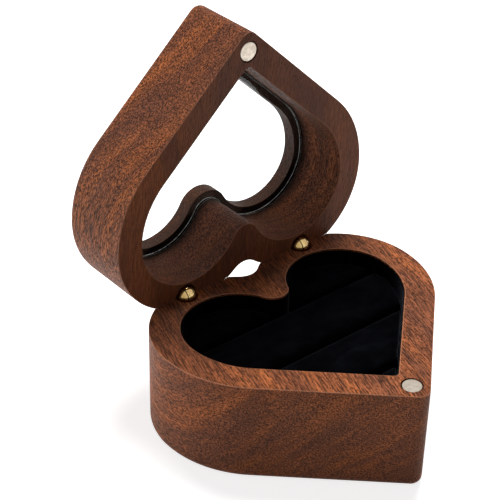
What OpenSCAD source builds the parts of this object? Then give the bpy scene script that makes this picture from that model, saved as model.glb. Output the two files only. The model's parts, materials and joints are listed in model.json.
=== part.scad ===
// Heart-shaped walnut ring box, shown open: a hollow base and a framed window lid on two
// barrel hinges, closed by a pair of magnets, with a slotted velvet insert in the base.
// Millimetres. +X runs along the hinge line, -Y points to the heart's tip, +Z is up.
// The origin is the middle of the base's bottom face.

/* [Heart outline] */
// Distance between the centres of the two lobes
lobe_spacing = 30.4; // [29:0.1:32]
// Radius of each lobe
lobe_r = 19.8; // [19:0.1:21]
// Radius of the flank that runs from a lobe into the straight side
flank_r = 25.3; // [22:0.1:32]
// Angle of each straight side from the centre line
side_angle = 46.9; // [44:0.1:50]
// Radius of the outer tip
tip_r = 2.6; // [1.5:0.1:3.5]
// Radius of the hollow between the lobes, outside
notch_r = 4.5; // [3:0.1:6]

/* [Base] */
// Height of the base
base_h = 24.6; // [22:0.1:32]
// Thickness of the base wall
base_wall = 6.9; // [6.2:0.1:7.6]
// Thickness of the floor under the insert
base_floor = 3.5; // [2:0.1:5]
// Radius of the cavity's tip
cavity_tip_r = 1.2; // [0.8:0.1:2]
// Radius of the cavity's hollow between the lobes
cavity_notch_r = 3.8; // [3:0.1:5]

/* [Lid] */
// Height of the lid
lid_h = 18.6; // [16:0.1:26]
// Thickness of the lid wall around the cavity
lid_wall = 6.3; // [5.9:0.1:7]
// Gap between the rim and the lid's face when closed
parting_gap = 0.1; // [0.06:0.01:0.3]
// Bevel behind the hinge line on the rim and on the lid, which stops the lid
stop_angle = 45; // [30:1:45]
// Gap between the two bevels when the lid stands open
stop_gap = 0.06; // [0.04:0.01:0.2]

/* [Window] */
// Thickness of the clear pane
pane_t = 1.5; // [1:0.1:2]
// Width of the lip that carries the pane
lip_w = 2; // [1.2:0.1:3]
// Thickness of the lip, out to the lid's outer face
lip_t = 3.6; // [2:0.1:4.5]
// Gap around the pane's edge
pane_gap = 0.1; // [0.05:0.01:0.3]

/* [Hinges] */
// Distance of the hinge line in front of the lobes' backs
hinge_inset = 3.1; // [2.8:0.1:3.3]
// Distance of each hinge outside its lobe's centre line
hinge_outset = 1.8; // [0:0.1:3]
// Diameter of a hinge barrel and of its hole
barrel_d = 4.8; // [4.6:0.1:5]
// Length of a hinge barrel
barrel_len = 9.5; // [6:0.1:10.5]
// Diameter of the domed knuckle
knuckle_d = 4.5; // [4.2:0.05:4.55]
// Gap between the knuckle and the end of each barrel
knuckle_gap = 0.2; // [0.1:0.01:0.4]
// Thickness of the middle leaf
leaf_t = 1.5; // [1.2:0.05:1.6]
// Thickness of the outer leaves' shanks
ear_t = 0.7; // [0.5:0.05:0.75]
// Slit between two leaves
leaf_slit = 0.2; // [0.1:0.01:0.24]
// Width of a leaf's shank
shank_w = 2.2; // [1.8:0.1:2.4]
// Length of a shank inside its barrel
shank_len = 4.2; // [3.2:0.1:5]
// Diameter of the hinge pin
pin_d = 1; // [0.8:0.05:1.2]
// Radial clearance of the middle leaf on the pin
pin_clear = 0.03; // [0.02:0.01:0.08]
// Diameter of the rivet through each barrel
rivet_d = 0.8; // [0.6:0.05:1]
// Clearance around fixed pins and shanks
seat_clear = 0.01; // [0.01:0.01:0.05]
// Width of the counterbore around a barrel hole
mouth_w = 0.4; // [0.2:0.05:0.5]
// Depth of the counterbore around a barrel hole
mouth_depth = 1.5; // [0.5:0.1:2]

/* [Magnets] */
// Diameter of a magnet
magnet_d = 4.4; // [4:0.1:5]
// Thickness of a magnet
magnet_t = 2; // [1:0.1:3]
// Gap between a magnet and its pocket
magnet_gap = 0.25; // [0.05:0.01:0.3]
// Depth of a magnet's face under the wood
magnet_drop = 0.1; // [0.02:0.01:0.3]

/* [Insert] */
// Thickness of the board under the pads
board_t = 1.2; // [0.8:0.1:2]
// Gap between the board and the wall
board_gap = 0.15; // [0.05:0.01:0.2]
// Thickness of the velvet lining on the wall of the well
lining_t = 0.2; // [0.1:0.05:0.2]
// Depth of the lining's upper edge under the rim
lining_drop = 0.5; // [0.3:0.1:1]
// Depth of the pads' crowns under the rim
pad_drop = 2.7; // [1:0.1:5]
// Gap between the pads and the wall
pad_gap = 0.3; // [0.25:0.05:0.5]
// Width of a ring slot
slot_w = 1.8; // [1.2:0.1:2.4]
// Length of the small pad at the tip
tip_pad_len = 5.8; // [5:0.1:7]
// Rounding of the pads' upper edges
pad_round = 1.9; // [1:0.1:2.2]
// Height of the crown above the rounded edge
pad_crown = 0.5; // [0.2:0.1:1]
// Amount by which a pad's foot is drawn in
pad_foot = 0.35; // [0.1:0.05:0.6]
// Distance over which a pad's crown rises, in from the rounded edge
crown_run = 2.5; // [1.5:0.1:3.5]

/* [Hidden] */

// Finish colours
WALNUT = "#6e4029";
BRASS = "#c8a45c";
NICKEL = "#cfc6b8";
VELVET = "#15161b";
CARD = "#26262a";
CLEAR = [0.85, 0.93, 0.95, 0.35];

// Steps along an outline's arcs in degrees, on the wood and on the pads
$arc_step = 3;
PAD_ARC_STEP = 9;
// Sides of round parts
ROUND = 64;
// Overrun of a cut past the face it opens
OVER = 1;
// Smallest rise of a hollow's centre over the lobe it touches
NOTCH_RISE = 1;
// Thickness of each level that a pad is stacked from, and steps around its rounded edge
SLICE = 0.05;
EDGE_ANGLES = [0:15:75];
// Shares of a pad's crown run at which its rise is set
CROWN_SHARES = [0.2, 0.6, 1];
// Crown run on the narrow tip pad, which has room for little more than its rounded edge
TIP_CROWN_RUN = 0.1;
// Share of the hollow's radius at which each rear pad starts, beside the hollow
REAR_START = 0.8;
LEFT = -1;
RIGHT = 1;

// Heart outline: lobe, flank and tip centres, on the right half
lobe_x = lobe_spacing / 2;
flank_x = lobe_x + lobe_r - flank_r;
tip_drop = (flank_r - tip_r + flank_x * cos(side_angle)) / sin(side_angle) + tip_r;
box_len = lobe_r + tip_drop;
lobe_y = box_len / 2 - lobe_r;
tip_y = -box_len / 2;

// Radius of a hollow between lobes drawn in by inset, kept touching both lobes
function hollow_r(inset, wanted) = max(wanted, lobe_x - (lobe_r - inset) + NOTCH_RISE);
// Height of that hollow's centre
function hollow_y(inset, r) = lobe_y + sqrt(pow(lobe_r - inset + r, 2) - pow(lobe_x, 2));
// Lowest point of an outline drawn in by inset whose tip has radius r
function tip_edge(inset, r) =
    lobe_y - (flank_r - inset - r + flank_x * cos(side_angle)) / sin(side_angle) - r;

// Points of an arc about c from angle a, left out, to angle b
function arc(c, r, a, b) =
    let (n = max(1, ceil(abs(b - a) / $arc_step)))
    [for (i = [1:n]) let (t = a + (b - a) * i / n) [c[0] + r * cos(t), c[1] + r * sin(t)]];

// Where a circle about c meets the straight side
function side_point(c, r) = [c[0] + r * cos(side_angle), c[1] - r * sin(side_angle)];

// Right half of the outline between the centre line's two points, the hollow's included
function heart_half(inset, tip, notch) =
    let (
        hr = hollow_r(inset, notch),
        hy = hollow_y(inset, hr),
        ty = tip_edge(inset, tip) + tip,
        turn = atan2(hy - lobe_y, -lobe_x)
    )
    concat(
        arc([0, ty], tip, -90, -side_angle),
        [side_point([flank_x, lobe_y], flank_r - inset)],
        arc([flank_x, lobe_y], flank_r - inset, -side_angle, 0),
        arc([lobe_x, lobe_y], lobe_r - inset, 0, turn),
        arc([0, hy], hr, turn - 180, -90)
    );

// Whole outline: the tip's own point, the right half and its mirror image without the hollow's
function heart_points(inset, tip, notch) =
    let (half = heart_half(inset, tip, notch))
    concat(
        [[0, tip_edge(inset, tip)]],
        half,
        [for (i = [len(half) - 2:-1:0]) [-half[i][0], half[i][1]]]
    );

// Heights and places that the pieces share
axis_z = base_h + parting_gap / 2;
hinge_y = lobe_y + lobe_r - hinge_inset;
hinge_x = lobe_x + hinge_outset;
lid_face = parting_gap / 2;
open_angle = 2 * stop_angle;
knuckle_r = knuckle_d / 2;
barrel_top = knuckle_r + knuckle_gap;
hole_depth = barrel_top + barrel_len;
leaf_edge = leaf_t / 2;
ear_edge = leaf_edge + leaf_slit;
rivet_depth = barrel_top + shank_len / 2;
magnet_y = (tip_y + tip_edge(base_wall, cavity_tip_r)) / 2;
board_top = base_floor + board_t;
pane_face = lid_h - lip_t - pane_t;
cavity_hollow_r = hollow_r(base_wall, cavity_notch_r);
cavity_hollow_edge = hollow_y(base_wall, cavity_hollow_r) - cavity_hollow_r;
cavity_tip_edge = tip_edge(base_wall, cavity_tip_r);

// Ring slots: the rear one runs just in front of the hollow, the last just behind the tip pad
slot_rear = cavity_hollow_edge - slot_w;
slot_last = cavity_tip_edge + tip_pad_len;
slot_pitch = (slot_rear - slot_last) / 2;
slot_front = slot_rear - slot_pitch;
pad_top = base_h - pad_drop;

// A block larger than the box, for cuts that take everything beyond a plane
REACH = 2 * (box_len + lobe_spacing + lobe_r);

module heart(inset, tip, notch) {
    polygon(heart_points(inset, tip, notch));
}

// Heart prism between two heights
module heart_block(inset, tip, notch, low, high) {
    translate([0, 0, low])
        linear_extrude(height = high - low)
            heart(inset, tip, notch);
}

// Everything on the far side of a plane through the X axis, above it by gap
module beyond_bevel(gap) {
    rotate([-stop_angle, 0, 0])
        translate([-REACH / 2, -REACH / 2, -gap / 2])
            cube(REACH);
}

// Places children, drawn closed about the hinge line, on the open lid
module on_lid() {
    translate([0, hinge_y, axis_z])
        rotate([-open_angle, 0, 0])
            children();
}

// Places children, drawn about one hinge's centre with the barrel hanging down, in the base
module in_base(side) {
    translate([side * hinge_x, hinge_y, axis_z])
        children();
}

// The same hinge half turned over into the lid
module in_lid(side) {
    on_lid()
        translate([side * hinge_x, 0, 0])
            mirror([0, 0, 1])
                children();
}

// Hole for one barrel, with the counterbore that clears its knuckle at the face
module barrel_hole(face) {
    translate([0, 0, -hole_depth])
        cylinder(d = barrel_d, h = hole_depth + OVER, $fn = ROUND);
    translate([0, 0, -face - mouth_depth])
        cylinder(d = barrel_d + 2 * mouth_w, h = mouth_depth + OVER, $fn = ROUND);
}

// Pocket for one magnet, opening upwards at height z
module magnet_pocket(z) {
    translate([0, 0, z - magnet_drop - magnet_t])
        cylinder(d = magnet_d + 2 * magnet_gap, h = magnet_t + magnet_drop + OVER, $fn = ROUND);
}

// Magnet that lies in that pocket
module magnet_disc(z) {
    color(NICKEL)
        translate([0, 0, z - magnet_drop - magnet_t])
            cylinder(d = magnet_d, h = magnet_t, $fn = ROUND);
}

module base_shell() {
    color(WALNUT)
        difference() {
            heart_block(0, tip_r, notch_r, 0, base_h);
            heart_block(base_wall, cavity_tip_r, cavity_notch_r, base_floor, base_h + OVER);
            for (side = [LEFT, RIGHT])
                in_base(side)
                    barrel_hole(lid_face);
            translate([0, hinge_y, axis_z])
                beyond_bevel(stop_gap);
            translate([0, magnet_y, 0])
                magnet_pocket(base_h);
        }
}

module base_magnet() {
    translate([0, magnet_y, 0])
        magnet_disc(base_h);
}

module lid_frame() {
    color(WALNUT)
        on_lid()
            difference() {
                translate([0, -hinge_y, lid_face])
                    difference() {
                        heart_block(0, tip_r, notch_r, 0, lid_h);
                        heart_block(lid_wall, cavity_tip_r, cavity_notch_r, -OVER, lid_h - lip_t);
                        heart_block(lid_wall + lip_w, cavity_tip_r, cavity_notch_r + lip_w,
                            -OVER, lid_h + OVER);
                    }
                mirror([0, 0, 1])
                    beyond_bevel(stop_gap);
                for (side = [LEFT, RIGHT])
                    translate([side * hinge_x, 0, 0])
                        mirror([0, 0, 1])
                            barrel_hole(lid_face);
                translate([0, magnet_y - hinge_y, 0])
                    mirror([0, 0, 1])
                        magnet_pocket(-lid_face);
            }
}

module window_pane() {
    color(CLEAR)
        on_lid()
            translate([0, -hinge_y, lid_face])
                heart_block(lid_wall + pane_gap, cavity_tip_r, cavity_notch_r + pane_gap,
                    pane_face, pane_face + pane_t);
}

module lid_magnet() {
    on_lid()
        translate([0, magnet_y - hinge_y, 0])
            mirror([0, 0, 1])
                magnet_disc(-lid_face);
}

// Hinge barrel under the knuckle, drilled for its rivet and cut away where children lie
module barrel() {
    color(BRASS)
        difference() {
            translate([0, 0, -hole_depth])
                cylinder(d = barrel_d, h = barrel_len, $fn = ROUND);
            children();
            cross_pin(rivet_d + 2 * seat_clear, barrel_d + 2 * OVER, -rivet_depth);
        }
}

// A round pin along X at height z
module cross_pin(d, length, z) {
    translate([-length / 2, 0, z])
        rotate([0, 90, 0])
            cylinder(d = d, h = length, $fn = ROUND);
}

// Flat shank from the knuckle's centre down into the barrel, from x0 to x1
module shank(x0, x1, spare) {
    half_w = shank_w / 2 + spare;
    translate([x0 - spare, -half_w, -barrel_top - shank_len - spare])
        cube([x1 - x0 + 2 * spare, 2 * half_w, barrel_top + shank_len + spare]);
}

// Slice of the domed knuckle from x0 to x1, turned about the hinge line
module knuckle_slice(x0, x1) {
    rotate([0, 90, 0])
        rotate_extrude($fn = ROUND)
            intersection() {
                circle(d = knuckle_d, $fn = ROUND);
                translate([0, x0])
                    square([knuckle_d, x1 - x0]);
            }
}

// Shank of the ear on one side of the middle leaf
module ear_shank(side, spare) {
    outer = side * (ear_edge + ear_t);
    inner = side * ear_edge;
    shank(min(inner, outer), max(inner, outer), spare);
}

// Domed ear on one side of the middle leaf, with its shank
module ear(side) {
    outer = side * knuckle_r;
    inner = side * ear_edge;
    knuckle_slice(min(inner, outer), max(inner, outer));
    ear_shank(side, 0);
}

module base_barrel(side) {
    in_base(side)
        barrel() {
            ear_shank(LEFT, seat_clear);
            ear_shank(RIGHT, seat_clear);
        }
}

module base_ears(side) {
    color(BRASS)
        in_base(side)
            difference() {
                union() {
                    ear(LEFT);
                    ear(RIGHT);
                }
                cross_pin(pin_d + 2 * seat_clear, 2 * knuckle_d, 0);
                cross_pin(rivet_d + 2 * seat_clear, 2 * knuckle_d, -rivet_depth);
            }
}

// Flush with the knuckle at the pin's own radius
module hinge_pin(side) {
    color(BRASS)
        in_base(side)
            cross_pin(pin_d, 2 * sqrt(pow(knuckle_r, 2) - pow(pin_d / 2, 2)), 0);
}

// Flush with the barrel at the rivet's own radius
module rivet() {
    color(BRASS)
        cross_pin(rivet_d, 2 * sqrt(pow(barrel_d / 2, 2) - pow(rivet_d / 2, 2)) - 2 * seat_clear,
            -rivet_depth);
}

module base_rivet(side) {
    in_base(side)
        rivet();
}

module lid_barrel(side) {
    in_lid(side)
        barrel()
            shank(-leaf_edge, leaf_edge, seat_clear);
}

module lid_leaf(side) {
    color(BRASS)
        in_lid(side)
            difference() {
                union() {
                    knuckle_slice(-leaf_edge, leaf_edge);
                    shank(-leaf_edge, leaf_edge, 0);
                }
                cross_pin(pin_d + 2 * pin_clear, 2 * knuckle_d, 0);
                cross_pin(rivet_d + 2 * seat_clear, 2 * knuckle_d, -rivet_depth);
            }
}

module lid_rivet(side) {
    in_lid(side)
        rivet();
}

module insert_board() {
    color(CARD)
        heart_block(base_wall + board_gap, cavity_tip_r, cavity_notch_r + board_gap,
            base_floor, board_top);
}

// Velvet lining that stands on the board's edge, against the wall
module well_lining() {
    color(VELVET)
        difference() {
            heart_block(base_wall + seat_clear, cavity_tip_r, cavity_notch_r + seat_clear,
                board_top, base_h - lining_drop);
            heart_block(base_wall + lining_t, cavity_tip_r, cavity_notch_r + lining_t,
                board_top - OVER, base_h);
        }
}

// Plan of the pad that fills the cavity between two lines across it
module pad_plan(y_low, y_high, x_low, x_high) {
    $arc_step = PAD_ARC_STEP;
    intersection() {
        heart(base_wall + pad_gap, cavity_tip_r, cavity_notch_r + pad_gap);
        translate([x_low, y_low])
            square([x_high - x_low, y_high - y_low]);
    }
}

// Padded block over a plan: foot drawn in, full sides, rounded edge, and a crown that rises
// over the run in from that edge. Each level is [amount drawn in, height].
module pad(run) {
    edge = pad_top - SLICE - pad_crown;
    levels = concat(
        [[pad_foot, board_top], [0, board_top + 2 * pad_round]],
        [for (t = EDGE_ANGLES) [pad_round * (1 - cos(t)), edge - pad_round * (1 - sin(t))]],
        [for (k = CROWN_SHARES) [pad_round + run * k, edge + pad_crown * k * (2 - k)]]
    );
    color(VELVET)
        hull()
            for (level = levels)
                translate([0, 0, level[1]])
                    linear_extrude(height = SLICE)
                        offset(delta = -level[0])
                            children();
}

module rear_pad(side) {
    near = side * cavity_hollow_r * REAR_START;
    far = side * REACH;
    pad(crown_run)
        pad_plan(cavity_hollow_edge, REACH, min(near, far), max(near, far));
}

module middle_pad() {
    pad(crown_run)
        pad_plan(slot_front + slot_w, slot_rear, -REACH, REACH);
}

module front_pad() {
    pad(crown_run)
        pad_plan(slot_last + slot_w, slot_front, -REACH, REACH);
}

module tip_pad() {
    pad(TIP_CROWN_RUN)
        pad_plan(-REACH, slot_last, -REACH, REACH);
}

base_shell();
base_magnet();
insert_board();
well_lining();
rear_pad(LEFT);  // left_rear_pad
rear_pad(RIGHT);  // right_rear_pad
middle_pad();
front_pad();
tip_pad();
base_barrel(LEFT);  // left_base_barrel
base_ears(LEFT);  // left_base_ears
base_rivet(LEFT);  // left_base_rivet
hinge_pin(LEFT);  // left_hinge_pin
base_barrel(RIGHT);  // right_base_barrel
base_ears(RIGHT);  // right_base_ears
base_rivet(RIGHT);  // right_base_rivet
hinge_pin(RIGHT);  // right_hinge_pin
lid_frame();
window_pane();
lid_magnet();
lid_barrel(LEFT);  // left_lid_barrel
lid_leaf(LEFT);  // left_lid_leaf
lid_rivet(LEFT);  // left_lid_rivet
lid_barrel(RIGHT);  // right_lid_barrel
lid_leaf(RIGHT);  // right_lid_leaf
lid_rivet(RIGHT);  // right_lid_rivet
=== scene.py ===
"""Looks of a heart-shaped walnut ring box that stands open on a white table.

The shells are lofted and bevelled from the same heart outline as the solids that they stand for,
the pads are swollen velvet cushions, and the hinges keep their solids under a brass finish.
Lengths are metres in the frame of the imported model: +X along the hinge line, -Y to the tip.
"""

import json
import logging
import math
from collections.abc import Iterable
from dataclasses import dataclass, replace
from enum import Enum

import bmesh
import bpy
from bmesh.types import BMEdge, BMesh, BMFace, BMVert
from bpy.types import Material, Node, NodeSocket, NodeTree, Object
from mathutils import Matrix, Vector

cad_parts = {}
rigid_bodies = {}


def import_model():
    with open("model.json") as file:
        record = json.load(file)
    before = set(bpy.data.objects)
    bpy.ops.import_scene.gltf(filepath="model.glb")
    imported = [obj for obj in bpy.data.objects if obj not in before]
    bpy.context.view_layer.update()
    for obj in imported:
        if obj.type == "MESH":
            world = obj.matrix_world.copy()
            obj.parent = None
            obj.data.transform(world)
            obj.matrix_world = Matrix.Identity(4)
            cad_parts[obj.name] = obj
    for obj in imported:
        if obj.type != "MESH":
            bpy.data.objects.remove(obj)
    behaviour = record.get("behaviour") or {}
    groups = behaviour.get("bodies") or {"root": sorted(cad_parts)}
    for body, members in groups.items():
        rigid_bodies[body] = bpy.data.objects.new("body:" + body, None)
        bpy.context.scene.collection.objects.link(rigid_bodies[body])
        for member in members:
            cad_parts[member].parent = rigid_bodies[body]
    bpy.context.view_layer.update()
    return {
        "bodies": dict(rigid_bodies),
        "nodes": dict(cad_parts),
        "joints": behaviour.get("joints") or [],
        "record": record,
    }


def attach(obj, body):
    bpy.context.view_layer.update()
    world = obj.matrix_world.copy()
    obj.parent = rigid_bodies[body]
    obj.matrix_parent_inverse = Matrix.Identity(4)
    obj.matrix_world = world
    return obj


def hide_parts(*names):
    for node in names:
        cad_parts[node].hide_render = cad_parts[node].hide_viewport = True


Pair = tuple[float, float]
Triple = tuple[float, float, float]
Colour = tuple[float, float, float, float]
Loops = list[list[BMEdge]]

LOG = logging.getLogger("ring_box")
MM = 0.001
UP = Vector((0.0, 0.0, 1.0))
WHITE = (1.0, 1.0, 1.0, 1.0)
SMOOTH_ANGLE = math.radians(32.0)
MERGE_DIST = 1e-7
LEVEL_DIST = 1e-6
# Corner attribute that weights the painted highlight along narrow rounded edges.
EDGE_LIGHT_LAYER = "edge_light"
# Corner attribute of the painted shade in the lid's window recess.
RECESS_SHADE_LAYER = "recess_shade"
STACK_STEP = 20.0 * MM
# Roundings up to this width get the full painted highlight.
FULL_HIGHLIGHT_WIDTH = 0.4 * MM
HINGE_PARTS = "base_barrel base_ears base_rivet hinge_pin lid_barrel lid_leaf lid_rivet".split()


class Side(Enum):
    """The two sides of the centre line."""

    LEFT = -1
    RIGHT = 1


class Half(Enum):
    """The two halves of the box, by the body that each one rides on."""

    BASE = "base"
    LID = "lid"


class Slot(Enum):
    """Material slots of the record."""

    WALNUT = "walnut"
    VELVET = "velvet"
    PANE = "clear_pane"
    NICKEL = "nickel"


class Marks(Enum):
    """The node groups that give plain finishes their patches and their grain."""

    CLOTH = "cloth_nap"
    METAL = "metal_marks"


@dataclass(frozen=True)
class Ring:
    """One heart-shaped ring of a lofted shell, with the rounding of its edge."""

    inset: float
    tip: float
    notch: float
    z: float
    round: float = 0.0
    segments: int = 3


@dataclass(frozen=True)
class HeartOutline:
    """Heart of a lobe, a flank, a straight side and a tip on each side of the centre line."""

    lobe_x: float = 15.2 * MM
    lobe_r: float = 19.8 * MM
    flank_r: float = 25.3 * MM
    side_angle: float = math.radians(46.9)
    tip_r: float = 2.6 * MM
    notch_r: float = 4.5 * MM
    notch_rise: float = 1.0 * MM
    tip_steps: int = 8
    side_steps: int = 10
    flank_steps: int = 18
    lobe_steps: int = 46
    notch_steps: int = 14

    @property
    def flank_x(self) -> float:
        """Distance of a flank's centre from the centre line."""
        return self.lobe_x + self.lobe_r - self.flank_r

    @property
    def lobe_y(self) -> float:
        """Y of the lobes' centres, with the middle of the outline's length at 0."""
        reach = self.flank_r - self.tip_r + self.flank_x * math.cos(self.side_angle)
        tip_drop = reach / math.sin(self.side_angle) + self.tip_r
        return (self.lobe_r + tip_drop) / 2 - self.lobe_r

    @property
    def back_y(self) -> float:
        """Y of the lobes' backs."""
        return self.lobe_y + self.lobe_r

    def tip_centre(self, inset: float, tip: float) -> float:
        """Y of the centre of a tip of radius tip, on the outline drawn in by inset."""
        reach = self.flank_r - inset - tip + self.flank_x * math.cos(self.side_angle)
        return self.lobe_y - reach / math.sin(self.side_angle)

    def hollow(self, inset: float, notch: float) -> Pair:
        """Finds the hollow between the lobes of the outline drawn in by inset.

        Args:
            inset: Distance by which the outline is drawn in.
            notch: Wanted radius.

        Returns:
            The radius, large enough to touch both lobes, and the centre's Y.
        """
        least = self.lobe_x - (self.lobe_r - inset) + self.notch_rise
        radius = max(notch, least)
        reach = self.lobe_r - inset + radius
        return radius, self.lobe_y + math.sqrt(reach**2 - self.lobe_x**2)

    def hollow_edge(self, inset: float, notch: float) -> float:
        """Y of the hollow's lowest point."""
        radius, centre = self.hollow(inset, notch)
        return centre - radius

    def draw(self, bm: BMesh, ring: Ring) -> list[BMEdge]:
        """Draws the closed outline of a ring with arcs that are spun about their centres.

        Args:
            bm: Mesh that takes the outline.
            ring: Inset, tip, hollow and height of the outline.

        Returns:
            The edges of the closed loop.
        """
        before = set(bm.edges)
        _, hollow_y = self.hollow(ring.inset, ring.notch)
        tip_y = self.tip_centre(ring.inset, ring.tip)
        turn = math.atan2(hollow_y - self.lobe_y, -self.lobe_x)
        vert = bmesh.ops.create_vert(bm, co=(0.0, tip_y - ring.tip, ring.z))["vert"][0]
        vert = self._arc(bm, vert, (0.0, tip_y), math.pi / 2 - self.side_angle, self.tip_steps)
        vert = self._side(bm, vert, ring)
        flank = (self.flank_x, self.lobe_y)
        vert = self._arc(bm, vert, flank, self.side_angle, self.flank_steps)
        vert = self._arc(bm, vert, (self.lobe_x, self.lobe_y), turn, self.lobe_steps)
        self._arc(bm, vert, (0.0, hollow_y), math.pi / 2 - turn, self.notch_steps)
        half = list(set(bm.edges) - before)
        geom = list({v for edge in half for v in edge.verts}) + half
        bmesh.ops.mirror(
            bm, geom=geom, matrix=Matrix.Identity(4), merge_dist=MERGE_DIST, axis="X"
        )
        loop = set(bm.edges) - before
        ends = [v for v in {v for e in loop for v in e.verts} if abs(v.co.x) < MERGE_DIST]
        bmesh.ops.remove_doubles(bm, verts=ends, dist=MERGE_DIST)
        return list(set(bm.edges) - before)

    def _arc(
        self, bm: BMesh, vert: BMVert, centre: Pair, angle: float, steps: int
    ) -> BMVert:
        """Spins the last vertex about a centre in the plan.

        Args:
            bm: Mesh that holds the vertex.
            vert: Last vertex of the outline so far.
            centre: X and Y of the centre.
            angle: Turn in radians, anticlockwise.
            steps: Number of edges.

        Returns:
            The arc's last vertex.
        """
        middle = (*centre, vert.co.z)
        spun = bmesh.ops.spin(bm, geom=[vert], cent=middle, axis=UP, angle=angle, steps=steps)
        return next(v for v in spun["geom_last"] if isinstance(v, BMVert))

    def _side(self, bm: BMesh, vert: BMVert, ring: Ring) -> BMVert:
        """Extrudes the last vertex along the straight side to the flank.

        Args:
            bm: Mesh that holds the vertex.
            vert: Last vertex of the tip.
            ring: Ring whose flank the side runs to.

        Returns:
            The vertex where the flank starts.
        """
        radius = self.flank_r - ring.inset
        end_x = self.flank_x + radius * math.cos(self.side_angle)
        end_y = self.lobe_y - radius * math.sin(self.side_angle)
        step = (Vector((end_x, end_y, ring.z)) - vert.co) / self.side_steps
        for _ in range(self.side_steps):
            vert = bmesh.ops.extrude_vert_indiv(bm, verts=[vert])["verts"][0]
            vert.co += step
        return vert


OUTLINE = HeartOutline()
OUTER = (0.0, OUTLINE.tip_r, OUTLINE.notch_r)


def shade(bm: BMesh) -> None:
    """Smooths every face and marks the edges that stay sharp.

    Args:
        bm: Mesh to shade.
    """
    for face in bm.faces:
        face.smooth = True
    for edge in bm.edges:
        if len(edge.link_faces) == 2:
            edge.smooth = edge.calc_face_angle(0.0) < SMOOTH_ANGLE


def linked(name: str, data: object, place: Matrix | None = None) -> Object:
    """Makes an object and links it to the scene.

    Args:
        name: Name of the object.
        data: Its mesh, camera or light.
        place: Its matrix in the frame, if it has one.

    Returns:
        The object.
    """
    obj = bpy.data.objects.new(name, data)
    if place is not None:
        obj.matrix_world = place
    bpy.context.scene.collection.objects.link(obj)
    return obj


def mesh_object(name: str, bm: BMesh) -> Object:
    """Makes an object of a mesh, smooth but for its sharp edges.

    Args:
        name: Name of the piece.
        bm: Mesh, which is freed.

    Returns:
        The object, linked to the scene.
    """
    shade(bm)
    mesh = bpy.data.meshes.new(name)
    bm.to_mesh(mesh)
    bm.free()
    return linked(name, mesh)


def bake_modifiers(obj: Object) -> None:
    """Replaces an object's mesh by its evaluated mesh and drops its modifiers.

    Args:
        obj: Object whose modifiers are applied.
    """
    graph = bpy.context.evaluated_depsgraph_get()
    mesh = bpy.data.meshes.new_from_object(obj.evaluated_get(graph))
    obj.modifiers.clear()
    obj.data = mesh
    mesh.name = obj.name


def even_normals(obj: Object) -> None:
    """Lets each flat face keep its own normal beside a narrow bevel.

    Args:
        obj: Piece whose normals are evened.
    """
    modifier = obj.modifiers.new("even_normals", "WEIGHTED_NORMAL")
    modifier.keep_sharp = True
    modifier.weight = 60


def turned_solid(
    name: str, profile: Iterable[Pair], place: Matrix, steps: int = 64
) -> Object:
    """Spins a closed profile of radius and height about Z, then puts it in place.

    Args:
        name: Name of the object.
        profile: Points from the lower end of the axis to the upper one.
        place: Matrix that takes the solid from its own axis to the frame, and may mirror it.
        steps: Sides of the full turn.

    Returns:
        The turned object, with its faces outwards.
    """
    bm = bmesh.new()
    last = None
    for radius, height in profile:
        vert = bmesh.ops.create_vert(bm, co=(radius, 0.0, height))["vert"][0]
        if last is not None:
            bmesh.ops.contextual_create(bm, geom=[last, vert])
        last = vert
    bmesh.ops.spin(
        bm,
        geom=bm.verts[:] + bm.edges[:],
        cent=(0.0, 0.0, 0.0),
        axis=UP,
        angle=math.tau,
        steps=steps,
        use_merge=True,
    )
    bmesh.ops.remove_doubles(bm, verts=bm.verts, dist=MERGE_DIST)
    bmesh.ops.transform(bm, matrix=place, verts=bm.verts)
    bm.normal_update()
    bmesh.ops.recalc_face_normals(bm, faces=bm.faces)
    return mesh_object(name, bm)


def loft(bm: BMesh, rings: list[Ring], joined: bool) -> Loops:
    """Bridges heart rings in order, and closes the run either with caps or onto its start.

    The rings are stacked apart while they are bridged, so that none lies in another's plane.

    Args:
        bm: Mesh that takes the shell.
        rings: Rings in order along the wall.
        joined: True if the last ring is bridged to the first, False if both ends are capped.

    Returns:
        Each ring's loop of edges.
    """
    stacked = [replace(ring, z=index * STACK_STEP) for index, ring in enumerate(rings)]
    loops = [OUTLINE.draw(bm, ring) for ring in stacked]
    for first, second in zip(loops, loops[1:]):
        bmesh.ops.bridge_loops(bm, edges=first + second)
    if joined:
        bmesh.ops.bridge_loops(bm, edges=loops[-1] + loops[0])
    else:
        for loop in (loops[0], loops[-1]):
            bmesh.ops.contextual_create(bm, geom=loop)
    for ring, high, loop in zip(rings, stacked, loops):
        verts = list({vert for edge in loop for vert in edge.verts})
        bmesh.ops.translate(bm, vec=(0.0, 0.0, ring.z - high.z), verts=verts)
    bmesh.ops.recalc_face_normals(bm, faces=bm.faces)
    return loops


def bevel(
    bm: BMesh, edges: list[BMEdge], radius: float, segments: int, clamped: bool = False
) -> list[BMFace]:
    """Rounds edges.

    Args:
        bm: Mesh that holds the edges.
        edges: Edges to round.
        radius: Width of the rounding.
        segments: Faces across it.
        clamped: True if the rounding stops where it would meet another one.

    Returns:
        The faces of the rounding.
    """
    made = bmesh.ops.bevel(
        bm,
        geom=edges,
        offset=radius,
        offset_type="OFFSET",
        segments=segments,
        profile=0.5,
        affect="EDGES",
        material=-1,
        clamp_overlap=clamped,
    )
    return made["faces"]


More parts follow.
